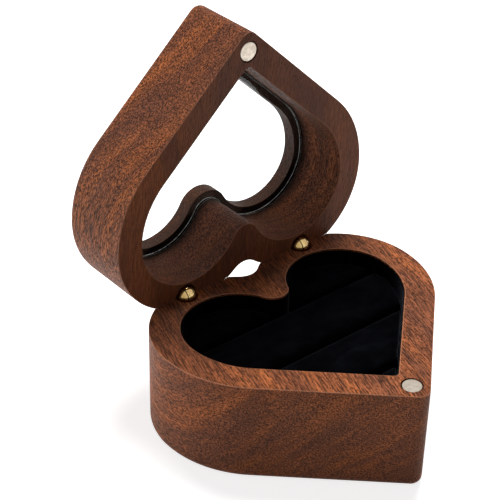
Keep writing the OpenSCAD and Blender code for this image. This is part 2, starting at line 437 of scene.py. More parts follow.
def ease_rings(bm: BMesh, rings: list[Ring], loops: Loops) -> None:
    """Rounds the rings' edges, and marks narrow roundings for a full painted highlight and wide
    ones for a faint one.

    Args:
        bm: Mesh of the lofted shell.
        rings: Rings that say how far each edge is rounded.
        loops: Each ring's loop of edges.
    """
    # Weight of the painted edge highlight, per corner.
    edge_light = bm.loops.layers.float.new(EDGE_LIGHT_LAYER)
    for ring, loop in zip(rings, loops):
        if ring.round:
            # Narrow roundings get a full painted highlight, wider ones a fainter one.
            edge_highlight = min(1.0, FULL_HIGHLIGHT_WIDTH / ring.round) ** 2
            for face in bevel(bm, loop, ring.round, ring.segments):
                for corner in face.loops:
                    corner[edge_light] = edge_highlight


def slice_off(bm: BMesh, point: Vector, normal: Vector) -> None:
    """Takes away what lies beyond a plane, on the side of its normal, and leaves the cut open."""
    geom = bm.verts[:] + bm.edges[:] + bm.faces[:]
    bmesh.ops.bisect_plane(bm, geom=geom, plane_co=point, plane_no=normal, clear_outer=True)


def cut_away(bm: BMesh, point: Vector, normal: Vector) -> None:
    """Takes away what lies beyond a plane and closes the cut.

    Args:
        bm: Mesh to cut.
        point: Point on the plane.
        normal: The plane's normal, towards what goes.
    """
    slice_off(bm, point, normal)
    rims = [edge for edge in bm.edges if edge.is_boundary]
    bmesh.ops.holes_fill(bm, edges=rims, sides=0)
    bmesh.ops.recalc_face_normals(bm, faces=bm.faces)


def drill(obj: Object, cutters: list[Object]) -> None:
    """Cuts solids out of a piece, removes them, and cleans and shades the piece again.

    Args:
        obj: Piece to cut.
        cutters: Closed solids that overlap it.
    """
    for cutter in cutters:
        modifier = obj.modifiers.new(cutter.name, "BOOLEAN")
        modifier.operation = "DIFFERENCE"
        modifier.solver = "EXACT"
        modifier.object = cutter
    bake_modifiers(obj)
    for cutter in cutters:
        bpy.data.objects.remove(cutter)
    bm = bmesh.new()
    bm.from_mesh(obj.data)
    bmesh.ops.remove_doubles(bm, verts=bm.verts, dist=MERGE_DIST)
    bmesh.ops.dissolve_degenerate(bm, dist=MERGE_DIST, edges=bm.edges)
    shade(bm)
    bm.to_mesh(obj.data)
    bm.free()


class Graph:
    """Adds and links the nodes of one shader tree."""

    def __init__(self, tree: NodeTree) -> None:
        """Keeps the tree and empties it."""
        self.tree = tree
        tree.nodes.clear()

    def add(self, kind: str, settings: dict | None = None, **inputs: object) -> Node:
        """Adds a node.

        Args:
            kind: Node type after ShaderNode.
            settings: Properties of the node, by name.
            inputs: Values or output sockets, by the input's name with _ for a space.

        Returns:
            The node.
        """
        node = self.tree.nodes.new(kind if kind.startswith("Node") else f"ShaderNode{kind}")
        for key, value in (settings or {}).items():
            setattr(node, key, value)
        for key, value in inputs.items():
            self.feed(node, key.replace("_", " "), value)
        return node

    def feed(self, node: Node, key: str | int, value: object) -> None:
        """Sets one input of a node, or links it if the value is a socket.

        Args:
            node: The node.
            key: Name or number of the input.
            value: Value or output socket.
        """
        if isinstance(value, NodeSocket):
            self.tree.links.new(value, node.inputs[key])
        else:
            node.inputs[key].default_value = value

    def chain(self, kind: str, settings: dict, *values: object) -> Node:
        """Adds a node and feeds its inputs in order.

        Args:
            kind: Node type after ShaderNode.
            settings: Properties of the node, by name.
            values: Values or output sockets.

        Returns:
            The node.
        """
        node = self.add(kind, settings)
        for index, value in enumerate(values):
            self.feed(node, index, value)
        return node

    def math(self, operation: str, *values: object) -> NodeSocket:
        """Adds a Math node and returns its output."""
        return self.chain("Math", {"operation": operation}, *values).outputs[0]

    def vector(self, operation: str, first: object, second: object) -> Node:
        """Adds a Vector Math node."""
        return self.chain("VectorMath", {"operation": operation}, first, second)

    def scaled(self, vector: object, factors: Triple) -> NodeSocket:
        """Multiplies a vector by factors and returns the output."""
        return self.vector("MULTIPLY", vector, factors).outputs[0]

    def noise(
        self, vector: object, scales: Triple, detail: float, roughness: float = 0.5
    ) -> NodeSocket:
        """Adds a Noise Texture with its own scale along each axis.

        Args:
            vector: Coordinates.
            scales: Scale along each axis.
            detail: Number of finer layers.
            roughness: Share of the finer layers.

        Returns:
            Its value.
        """
        settings = {"noise_dimensions": "3D"}
        place = self.scaled(vector, scales)
        node = self.add("TexNoise", settings, Vector=place, Scale=1.0, Detail=detail)
        node.inputs["Roughness"].default_value = roughness
        return node.outputs["Fac"]

    def span(
        self, value: object, low: float, high: float, new_low: float = 0.0, new_high: float = 1.0
    ) -> NodeSocket:
        """Maps a range smoothly onto another and returns the output."""
        settings = {"interpolation_type": "SMOOTHSTEP"}
        return self.chain("MapRange", settings, value, low, high, new_low, new_high).outputs[0]

    def mix(
        self, factor: object, first: object, second: object, blend: str = "MIX"
    ) -> NodeSocket:
        """Mixes two colours.

        Args:
            factor: Share of the second.
            first: First colour.
            second: Second colour.
            blend: Blend type.

        Returns:
            The mixed colour.
        """
        node = self.add("Mix", {"data_type": "RGBA", "blend_type": blend})
        for key, value in ((0, factor), (6, first), (7, second)):
            self.feed(node, key, value)
        return node.outputs[2]

    def bump(self, height: object, distance: float, strength: float) -> NodeSocket:
        """Adds a Bump node and returns its normal."""
        node = self.add("Bump", Height=height, Distance=distance, Strength=strength)
        return node.outputs["Normal"]

    def seen(self) -> NodeSocket:
        """Tells what shows straight, mirrored or through the pane from what only gives light.

        Returns:
            A socket of 1 for what shows and 0 for lighting.
        """
        rays = self.add("LightPath").outputs
        straight = self.math("MAXIMUM", rays["Is Camera Ray"], rays["Is Glossy Ray"])
        return self.math("MAXIMUM", straight, rays["Is Transmission Ray"])

    def pattern(
        self, tree: NodeTree, turn: Matrix | None = None, shift: Vector | None = None
    ) -> Node:
        """Adds a node group that reads the piece's own coordinates in millimetres.

        Args:
            tree: The group.
            turn: Rotation into the pattern's frame.
            shift: Shift in millimetres in that frame.

        Returns:
            The group's node.
        """
        mapping = self.add("Mapping", Vector=self.add("TexCoord").outputs["Object"])
        mapping.inputs["Scale"].default_value = (1 / MM, 1 / MM, 1 / MM)
        if turn is not None:
            mapping.inputs["Rotation"].default_value = turn.to_euler()
        if shift is not None:
            mapping.inputs["Location"].default_value = shift
        return self.add("Group", {"node_tree": tree}, Vector=mapping.outputs["Vector"])


def new_group(name: str, labels: Iterable[str]) -> tuple[Graph, NodeSocket, Node]:
    """Makes an empty shader node group of one vector in and values out.

    Args:
        name: Name of the group.
        labels: Names of its outputs.

    Returns:
        The group's graph, its vector, and its output node.
    """
    tree = bpy.data.node_groups.new(name, "ShaderNodeTree")
    tree.interface.new_socket("Vector", in_out="INPUT", socket_type="NodeSocketVector")
    for label in labels:
        tree.interface.new_socket(label, in_out="OUTPUT", socket_type="NodeSocketFloat")
    g = Graph(tree)
    return g, g.add("NodeGroupInput").outputs["Vector"], g.add("NodeGroupOutput")


def noise_group(name: str, **noises: tuple[Triple, float, float]) -> NodeTree:
    """Builds a group of plain noises.

    Args:
        name: Name of the group.
        noises: Scales per millimetre, detail and roughness of each noise, by its output.

    Returns:
        The group.
    """
    g, vector, sink = new_group(name, noises)
    for label, (scales, detail, roughness) in noises.items():
        g.feed(sink, label, g.noise(vector, scales, detail, roughness))
    return g.tree


@dataclass(frozen=True)
class WoodFigure:
    """Walnut's figure. Scales are per millimetre: along the fibres, beside them, across rings."""

    wander: Triple = (0.02, 0.035, 0.035)
    wander_depth: float = 7.0
    streak: Triple = (0.01, 0.028, 0.2)
    ring: Triple = (0.1, 0.45, 1.0)
    ring_width: float = 3.2
    warmth: Triple = (0.03, 0.09, 0.09)
    fibre: Triple = (0.25, 3.3, 3.3)
    pore: Triple = (0.22, 1.0, 1.0)
    pore_spacing: float = 0.33
    pore_edge: Pair = (0.14, 0.40)
    pore_layers: tuple[Pair, ...] = ((1.0, 1.0), (1.7, 0.6))

    def build(self) -> NodeTree:
        """Builds the group that gives streaks, rings, fibres and pores in their own frame.

        Returns:
            The group. Its vector is in millimetres, X along the fibres and Z across the rings.
        """
        labels = ("Streaks", "Rings", "Warmth", "Fibre", "Pores")
        g, vector, sink = new_group("wood_figure", labels)
        drift = g.math("MULTIPLY", g.noise(vector, self.wander, 2.0), self.wander_depth)
        shift = g.add("CombineXYZ", Z=drift).outputs[0]
        bent = g.vector("ADD", vector, shift).outputs[0]
        streaks = g.noise(bent, self.streak, 4.0, 0.6)
        wave = g.add(
            "TexWave",
            {"wave_type": "BANDS", "bands_direction": "Z", "wave_profile": "SAW"},
            Vector=g.scaled(bent, self.ring),
            Scale=math.tau / 20 / self.ring_width,
            Distortion=2.2,
            Detail=1.0,
            Detail_Scale=0.8,
        )
        cells = g.scaled(bent, self.pore)
        pores = []
        for finer, depth in self.pore_layers:
            scale = finer / self.pore_spacing
            spot = g.add("TexVoronoi", {"feature": "F1"}, Vector=cells, Scale=scale)
            pores.append(g.span(spot.outputs["Distance"], *self.pore_edge, depth, 0.0))
        g.feed(sink, "Streaks", g.span(streaks, 0.3, 0.7))
        g.feed(sink, "Rings", g.span(wave.outputs["Fac"], 0.45, 1.0))
        g.feed(sink, "Warmth", g.span(g.noise(vector, self.warmth, 2.0), 0.35, 0.65))
        g.feed(sink, "Fibre", g.noise(bent, self.fibre, 1.0))
        g.feed(sink, "Pores", g.math("MAXIMUM", *pores))
        return g.tree


class Groups:
    """The shader node groups, each built once."""

    def __init__(self) -> None:
        """Builds every group."""
        self.wood = WoodFigure().build()
        self.marks = {
            Marks.CLOTH: noise_group(
                Marks.CLOTH.value,
                Patches=((0.22, 0.35, 0.3), 3.0, 0.5),
                Grain=((6.0, 6.0, 6.0), 2.0, 0.7),
            ),
            Marks.METAL: noise_group(
                Marks.METAL.value,
                Patches=((1.4, 1.4, 1.4), 4.0, 0.6),
                Grain=((9.0, 1.2, 9.0), 3.0, 0.7),
            ),
        }


@dataclass(frozen=True)
class Finish:
    """A finish, which makes its own material."""

    name: str

    def surface(self, g: Graph, groups: Groups) -> Node:
        """Adds the finish's shader from the node groups and returns it."""
        raise NotImplementedError

    def build(self, groups: Groups) -> Material:
        """Builds the material.

        Args:
            groups: The shader node groups.

        Returns:
            The material.
        """
        material = bpy.data.materials.new(self.name)
        material.use_nodes = True
        g = Graph(material.node_tree)
        g.add("OutputMaterial", Surface=self.surface(g, groups).outputs[0])
        return material


@dataclass(frozen=True)
class WalnutFinish(Finish):
    """Oiled walnut, cut at its own angle to the fibres and the rings."""

    fibres: Vector
    rings: Vector
    offset: Vector
    light: Colour = (0.285, 0.090, 0.036, 1.0)
    warm: Colour = (0.345, 0.102, 0.032, 1.0)
    dark: Colour = (0.120, 0.042, 0.023, 1.0)
    pore: Colour = (0.030, 0.010, 0.005, 1.0)
    # Colour of the painted highlight along rounded edges.
    edge_highlight: Colour = (0.460, 0.195, 0.105, 1.0)
    # Colour of the painted shade in the window's recess.
    recess_shade: Colour = (0.012, 0.0085, 0.0065, 1.0)
    roughness: float = 0.55
    pore_roughness: float = 0.2
    specular: float = 0.16
    streak_depth: float = 0.75
    ring_depth: float = 0.36
    shade_range: Pair = (0.36, 1.62)
    pore_depth: float = 0.85
    edge_highlight_depth: float = 0.75
    # How the painted shade fades from the window towards the parting face, and how dark it gets.
    recess_shade_reach: Pair = (0.62, 0.98)
    recess_shade_depth: float = 0.93
    relief: float = 0.12 * MM
    planed: Vector = Vector((0.0, 0.0, 0.0))
    planed_reach: Pair = (0.8, 0.95)
    planed_figure: float = 0.35
    fibre_reach: Pair = (0.3, 0.7)

    def axes(self) -> Matrix:
        """Turns from the frame to fibres along X and rings across Z.

        Returns:
            The rotation.
        """
        along = self.fibres.normalized()
        across = (self.rings - along * self.rings.dot(along)).normalized()
        return Matrix((along, across.cross(along), across))

    def surface(self, g: Graph, groups: Groups) -> Node:
        """Adds walnut with streaks, rings, fibres, pores, a painted highlight on its rounded edges
        and painted shade in the window's recess.

        The figure is fainter on faces that look along planed.

        Args:
            g: Graph of the material.
            groups: The shader node groups.

        Returns:
            The shader.
        """
        figure = g.pattern(groups.wood, self.axes(), self.offset).outputs
        facing = g.vector("DOT_PRODUCT", g.add("TexCoord").outputs["Normal"], self.planed)
        flat = g.math("ABSOLUTE", facing.outputs["Value"])
        rough_cut = g.span(flat, *self.planed_reach, 1.0, self.planed_figure)
        body = g.mix(figure["Warmth"], self.light, self.warm)
        body = g.mix(g.span(figure["Streaks"], 0.0, 1.0, self.streak_depth, 0.0), body, self.dark)
        body = g.mix(g.math("MULTIPLY", figure["Rings"], self.ring_depth), body, self.dark)
        grey = g.span(figure["Fibre"], *self.fibre_reach, *self.shade_range)
        tone = g.chain("CombineColor", {}, grey, grey, grey).outputs[0]
        body = g.mix(rough_cut, body, g.mix(1.0, body, tone, "MULTIPLY"))
        depth = g.math("MULTIPLY", figure["Pores"], self.pore_depth)
        body = g.mix(g.math("MULTIPLY", depth, rough_cut), body, self.pore)
        # Painted highlight: a lighter colour along narrow rounded edges.
        edge_light = g.add("Attribute", {"attribute_name": EDGE_LIGHT_LAYER}).outputs["Fac"]
        body = g.mix(g.math("MULTIPLY", edge_light, self.edge_highlight_depth), body, self.edge_highlight)
        # Painted shade: darkest at the window, fading down the cavity wall.
        recess_shading = g.add("Attribute", {"attribute_name": RECESS_SHADE_LAYER}).outputs["Fac"]
        recess_shading = g.span(recess_shading, *self.recess_shade_reach, 0.0, self.recess_shade_depth)
        height = g.math("SUBTRACT", figure["Fibre"], figure["Pores"])
        return g.add(
            "BsdfPrincipled",
            Base_Color=g.mix(recess_shading, body, self.recess_shade),
            Roughness=g.math("MULTIPLY_ADD", figure["Pores"], self.pore_roughness, self.roughness),
            Specular_IOR_Level=self.specular,
            Normal=g.bump(g.math("MULTIPLY", height, rough_cut), self.relief, 1.0),
        )


@dataclass(frozen=True)
class MarkedFinish(Finish):
    """Two tones in patches, with a fine grain in relief."""

    marks: Marks
    colour: Colour
    patch: Colour
    roughness: float
    relief: float
    strength: float
    patch_reach: Pair = (0.35, 0.7)
    metallic: float = 0.0
    extras: dict[str, object] | None = None

    def blend(self, g: Graph, patches: NodeSocket) -> NodeSocket:
        """Share of the patches' tone."""
        return g.span(patches, *self.patch_reach)

    def rough(self, g: Graph, patches: NodeSocket) -> object:
        """Roughness, a number or a socket."""
        return self.roughness

    def surface(self, g: Graph, groups: Groups) -> Node:
        """Adds the marked surface.

        Args:
            g: Graph of the material.
            groups: The shader node groups.

        Returns:
            The shader.
        """
        marks = g.pattern(groups.marks[self.marks]).outputs
        return g.add(
            "BsdfPrincipled",
            Base_Color=g.mix(self.blend(g, marks["Patches"]), self.colour, self.patch),
            Metallic=self.metallic,
            Roughness=self.rough(g, marks["Patches"]),
            Normal=g.bump(marks["Grain"], self.relief, self.strength),
            **(self.extras or {}),
        )


@dataclass(frozen=True)
class MetalFinish(MarkedFinish):
    """Hazed metal with fine scratches, with painted shade on its sideways and downward faces."""

    patch_reach: Pair = (0.35, 0.75)
    metallic: float = 1.0
    rough_range: Pair = (0.85, 1.25)
    # Depth of the painted shade on faces that turn sideways or down.
    flank_shade_depth: float = 0.0

    def blend(self, g: Graph, patches: NodeSocket) -> NodeSocket:
        """Adds the tarnish of the haze, and painted shade on the flanks.

        Args:
            g: Graph of the material.
            patches: Value of the haze.

        Returns:
            Share of the tarnish colour, which also serves as the painted shade.
        """
        haze = super().blend(g, patches)
        if not self.flank_shade_depth:
            return haze
        # Painted shade: faces that turn down or towards X take the darker tarnish colour.
        normal = g.add("SeparateXYZ", Vector=g.add("NewGeometry").outputs["Normal"]).outputs
        flank = g.span(normal["Z"], -0.2, 0.6, self.flank_shade_depth, 0.0)
        side = g.span(g.math("ABSOLUTE", normal["X"]), 0.2, 0.7, 0.0, self.flank_shade_depth)
        return g.math("MAXIMUM", haze, g.math("MAXIMUM", flank, side))

    def rough(self, g: Graph, patches: NodeSocket) -> NodeSocket:
        """Roughness, which rises with the haze."""
        low, high = (self.roughness * share for share in self.rough_range)
        return g.span(patches, 0.3, 0.7, low, high)


@dataclass(frozen=True)
class PaneFinish(Finish):
    """Clear polished pane, which lets light through to what stands behind it."""

    name: str = "clear_pane"
    tint: Colour = (0.965, 0.985, 0.98, 1.0)
    index: float = 1.49
    haze: float = 0.03

    def surface(self, g: Graph, groups: Groups) -> Node:
        """Adds the clear pane, with a little haze.

        Args:
            g: Graph of the material.
            groups: The shader node groups.

        Returns:
            The shader.
        """
        patches = g.pattern(groups.marks[Marks.METAL]).outputs["Patches"]
        return g.add(
            "BsdfPrincipled",
            Base_Color=self.tint,
            Roughness=g.span(patches, 0.3, 0.8, 0.0, self.haze),
            IOR=self.index,
            Transmission_Weight=1.0,
        )


@dataclass(frozen=True)
class TableFinish(Finish):
    """White table that glows where it shows, so that it meets the background without a line."""

    name: str = "white_table"
    matte: Colour = (0.75, 0.75, 0.75, 1.0)
    glow: float = 0.79

    def surface(self, g: Graph, groups: Groups) -> Node:
        """Adds the matte table and its glow.

        Args:
            g: Graph of the material.
            groups: The shader node groups. Not used.

        Returns:
            The shader.
        """
        strength = g.math("MULTIPLY", g.seen(), self.glow)
        matte = g.add("BsdfDiffuse", Color=self.matte).outputs[0]
        glow = g.add("Emission", Color=WHITE, Strength=strength).outputs[0]
        return g.chain("AddShader", {}, matte, glow)


@dataclass(frozen=True)
class Box:
    """Sizes that the pieces share, and where the hinges and magnets sit."""

    base_h: float = 24.6 * MM
    parting_gap: float = 0.1 * MM
    stop_gap: float = 0.06 * MM
    inset: float = 3.1 * MM
    outset: float = 1.8 * MM
    barrel_d: float = 4.8 * MM
    barrel_len: float = 9.5 * MM
    knuckle_d: float = 4.5 * MM
    knuckle_gap: float = 0.2 * MM
    mouth_w: float = 0.4 * MM
    mouth_depth: float = 1.5 * MM
    magnet_d: float = 4.4 * MM
    magnet_t: float = 2.0 * MM
    magnet_rim: float = 0.22 * MM
    magnet_gap: float = 0.25 * MM
    magnet_drop: float = 0.1 * MM
    base_wall: float = 6.9 * MM
    cavity_tip: float = 1.2 * MM
    cavity_notch: float = 3.8 * MM
    board_top: float = 4.7 * MM
    cutter_over: float = 1.0 * MM

    @property
    def y(self) -> float:
        """Y of the hinge line."""
        return OUTLINE.back_y - self.inset

    @property
    def x(self) -> float:
        """Distance of each hinge from the centre line."""
        return OUTLINE.lobe_x + self.outset

    @property
    def axis_z(self) -> float:
        """Height of the hinge line."""
        return self.base_h + self.parting_gap / 2

    @property
    def magnet_y(self) -> float:
        """Y of the magnets, midway between the outer and the cavity's tip."""
        outer = OUTLINE.tip_centre(0.0, OUTLINE.tip_r) - OUTLINE.tip_r
        inner = OUTLINE.tip_centre(self.base_wall, self.cavity_tip) - self.cavity_tip
        return (outer + inner) / 2

    def cavity(self, wall: float, more: float = 0.0) -> Triple:
        """Inset, tip and hollow of the cavity inside a wall, drawn in by some more."""
        return wall + more, self.cavity_tip, self.cavity_notch + more

    def lid_place(self) -> Matrix:
        """Places the lid, drawn on its parting face with its depth up, on its open hinges."""
        turn = Matrix.Rotation(-math.pi / 2, 4, "X")
        drawn = Matrix.Translation((0.0, -self.y, self.parting_gap / 2))
        return Matrix.Translation((0.0, self.y, self.axis_z)) @ turn @ drawn

    def face(self, half: Half) -> Matrix:
        """Gives the frame of a half's parting face: Z out of the wood, the origin over the centre.

        Args:
            half: The half.

        Returns:
            The frame's matrix.
        """
        if half is Half.BASE:
            return Matrix.Translation((0.0, 0.0, self.base_h))
        return self.lid_place() @ Matrix.Scale(-1, 4, UP)

    def cut_back(self, bm: BMesh, height: float, rise: float) -> None:
        """Cuts the bevel behind the hinge line, on which the open lid stops.

        Args:
            bm: Half to cut.
            height: Height of the hinge line as the half is drawn.
            rise: Slope of the bevel's normal, 1 up and -1 down.
        """
        normal = Vector((0.0, 1.0, rise)).normalized()
        axis = Vector((0.0, self.y, height))
        cut_away(bm, axis - normal * self.stop_gap / 2, normal)

    def hole_cutters(self, half: Half) -> list[Object]:
        """Makes the cutters for two counterbored barrel holes and a magnet pocket.

        Args:
            half: The half that they are cut out of.

        Returns:
            The three cutters.
        """
        face, over = self.face(half), self.cutter_over
        radius = self.barrel_d / 2
        mouth_r = radius + self.mouth_w
        bottom = self.parting_gap / 2 - self.knuckle_d / 2 - self.knuckle_gap - self.barrel_len
        hole = [
            (0.0, bottom),
            (radius, bottom),
            (radius, -self.mouth_depth),
            (mouth_r, -self.mouth_depth),
            (mouth_r, over),
            (0.0, over),
        ]
        floor = -self.magnet_drop - self.magnet_t
        pocket_r = self.magnet_d / 2 + self.magnet_gap
        pocket = [(0.0, floor), (pocket_r, floor), (pocket_r, over), (0.0, over)]
        made = []
        for side in Side:
            at = face @ Matrix.Translation((side.value * self.x, self.y, 0.0))
            made.append(turned_solid(f"hole_{side.name.lower()}", hole, at))
        at = face @ Matrix.Translation((0.0, self.magnet_y, 0.0))
        made.append(turned_solid("pocket", pocket, at))
        return made

    def magnet(self, half: Half) -> Object:
        """Makes a magnet disc with a rounded rim, flush in its half's pocket.

        Args:
            half: The half that holds it.

        Returns:
            The magnet.
        """
        radius, rim, top = self.magnet_d / 2, self.magnet_rim, -self.magnet_drop
        profile = [(0.0, top - self.magnet_t), (radius, top - self.magnet_t)]
        for degrees in range(0, 91, 15):
            a = math.radians(degrees)
            profile.append((radius - rim * (1 - math.cos(a)), top - rim * (1 - math.sin(a))))
        profile.append((0.0, top))
        place = self.face(half) @ Matrix.Translation((0.0, self.magnet_y, 0.0))
        return turned_solid(f"{half.value}_magnet_disc", profile, place, steps=96)


@dataclass(frozen=True)
class BaseShell:
    """The hollow walnut base."""

    box: Box
    floor: float = 3.5 * MM
    foot_round: float = 1.7 * MM
    rim_round: float = 0.18 * MM

    def rings(self) -> list[Ring]:
        """Rings from the bottom, up the outside, over the rim and down into the well."""
        cavity, top = self.box.cavity(self.box.base_wall), self.box.base_h
        return [
            Ring(*OUTER, 0.0, self.foot_round, 6),
            Ring(*OUTER, top, self.rim_round),
            Ring(*cavity, top, self.rim_round),
            Ring(*cavity, self.floor),
        ]

    def build(self) -> Object:
        """Lofts, bevels, cuts and drills the shell.

        Returns:
            The shell.
        """
        bm, rings = bmesh.new(), self.rings()
        ease_rings(bm, rings, loft(bm, rings, joined=False))
        self.box.cut_back(bm, self.box.axis_z, 1.0)
        shell = mesh_object("base_wood", bm)
        drill(shell, self.box.hole_cutters(Half.BASE))
        even_normals(shell)
        return shell


@dataclass(frozen=True)
class LidFrame:
    """The walnut ring of the lid, with the lip that carries the pane."""

    box: Box
    height: float = 18.6 * MM
    wall: float = 6.3 * MM
    lip_w: float = 2.0 * MM
    lip_t: float = 3.6 * MM
    pane_t: float = 1.5 * MM
    pane_gap: float = 0.1 * MM
    face_round: float = 0.18 * MM
    outer_round: float = 1.5 * MM
    lip_round: float = 0.35 * MM
    ledge_round: float = 0.15 * MM
    pane_round: float = 0.2 * MM
    # Painted shade per band: its first ring, its value at that ring and at the next.
    recess_shade_run: tuple[tuple[int, float, float], ...] = ((1, 0.9, 0.9), (2, 1.0, 1.0), (3, 1.0, 0.0))

    def rings(self) -> list[Ring]:
        """Rings from the outer face, down through the window to the parting face's edge."""
        lip_z = self.height - self.lip_t
        cavity, window = self.box.cavity(self.wall), self.box.cavity(self.wall, self.lip_w)
        return [
            Ring(*OUTER, self.height, self.outer_round, 6),
            Ring(*window, self.height, self.lip_round, 4),
            Ring(*window, lip_z, self.ledge_round, 2),
            Ring(*cavity, lip_z),
            Ring(*cavity, 0.0, self.face_round),
            Ring(*OUTER, 0.0, self.face_round),
        ]

    def build(self) -> Object:
        """Lofts, paints shade into the window's recess, bevels, cuts and drills the frame, and
        stands it open.

        Returns:
            The frame.
        """
        bm, rings = bmesh.new(), self.rings()
        loops = loft(bm, rings, joined=True)
        self._paint_recess_shade(bm, loops)
        ease_rings(bm, rings, loops)
        self.box.cut_back(bm, -self.box.parting_gap / 2, -1.0)
        bmesh.ops.transform(bm, matrix=self.box.lid_place(), verts=bm.verts)
        frame = mesh_object("lid_wood", bm)
        drill(frame, self.box.hole_cutters(Half.LID))
        even_normals(frame)
        return frame

    def _paint_recess_shade(self, bm: BMesh, loops: Loops) -> None:
        """Paints shade onto the lip and its ledge, fading over the cavity wall to the parting
        face.

        Args:
            bm: The lofted frame, before its edges are eased.
            loops: Edges of each ring, from the outer face inwards.
        """
        # Painted shade in the recess, per corner.
        layer = bm.loops.layers.float.new(RECESS_SHADE_LAYER)
        rings = [{vert for edge in loop for vert in edge.verts} for loop in loops]
        for first, near, far in self.recess_shade_run:
            band = rings[first] | rings[first + 1]
            for face in bm.faces:
                verts = set(face.verts)
                if verts <= band and verts & rings[first] and verts & rings[first + 1]:
                    for corner in face.loops:
                        corner[layer] = near if corner.vert in rings[first] else far

    def pane(self) -> Object:
        """Makes the pane that lies against the lip.

        Returns:
            The pane.
        """
        outline, outer = self.box.cavity(self.wall, self.pane_gap), self.height - self.lip_t
        rings = [
            Ring(*outline, outer - self.pane_t, self.pane_round, 2),
            Ring(*outline, outer, self.ledge_round, 2),
        ]
        bm = bmesh.new()
        ease_rings(bm, rings, loft(bm, rings, joined=False))
        bmesh.ops.transform(bm, matrix=self.box.lid_place(), verts=bm.verts)
        pane = mesh_object("window", bm)
        even_normals(pane)
        return pane

    @staticmethod
    def frost(pane: Object, finish: Material) -> None:
        """Gives the pane's broken edges a second finish.

        Args:
            pane: The pane, already dressed in its clear finish.
            finish: Finish of the sawn edge.
        """
        pane.data.materials.append(finish)
        # The weight of the painted edge highlight picks out the pane's narrow roundings.
        eased = pane.data.attributes[EDGE_LIGHT_LAYER].data
        for face in pane.data.polygons:
            if eased[face.loop_start].value > 0.5:
                face.material_index = 1


@dataclass(frozen=True)
class WellLining:
    """The thin velvet on the wall of the well."""

    box: Box
    drop: float = 0.5 * MM
    seat: float = 0.01 * MM
    thickness: float = 0.2 * MM
    edge_round: float = 0.1 * MM

    def build(self) -> Object:
        """Lofts the lining and rounds its upper edge.

        Returns:
            The lining.
        """
        wall, low, top = self.box.base_wall, self.box.board_top, self.box.base_h - self.drop
        outer, inner = (self.box.cavity(wall, more) for more in (self.seat, self.thickness))
        rings = [
            Ring(*outer, low),
            Ring(*outer, top, self.edge_round),
            Ring(*inner, top, self.edge_round),
            Ring(*inner, low),
        ]
        bm = bmesh.new()
        ease_rings(bm, rings, loft(bm, rings, joined=True))
        return mesh_object("well_velvet", bm)


@dataclass(frozen=True)
class PadPlan:
    """One pad: its name, the solids it stands for and the stretch of the well that it fills."""

    name: str
    node: str
    low: float
    high: float
    side: Side | None = None


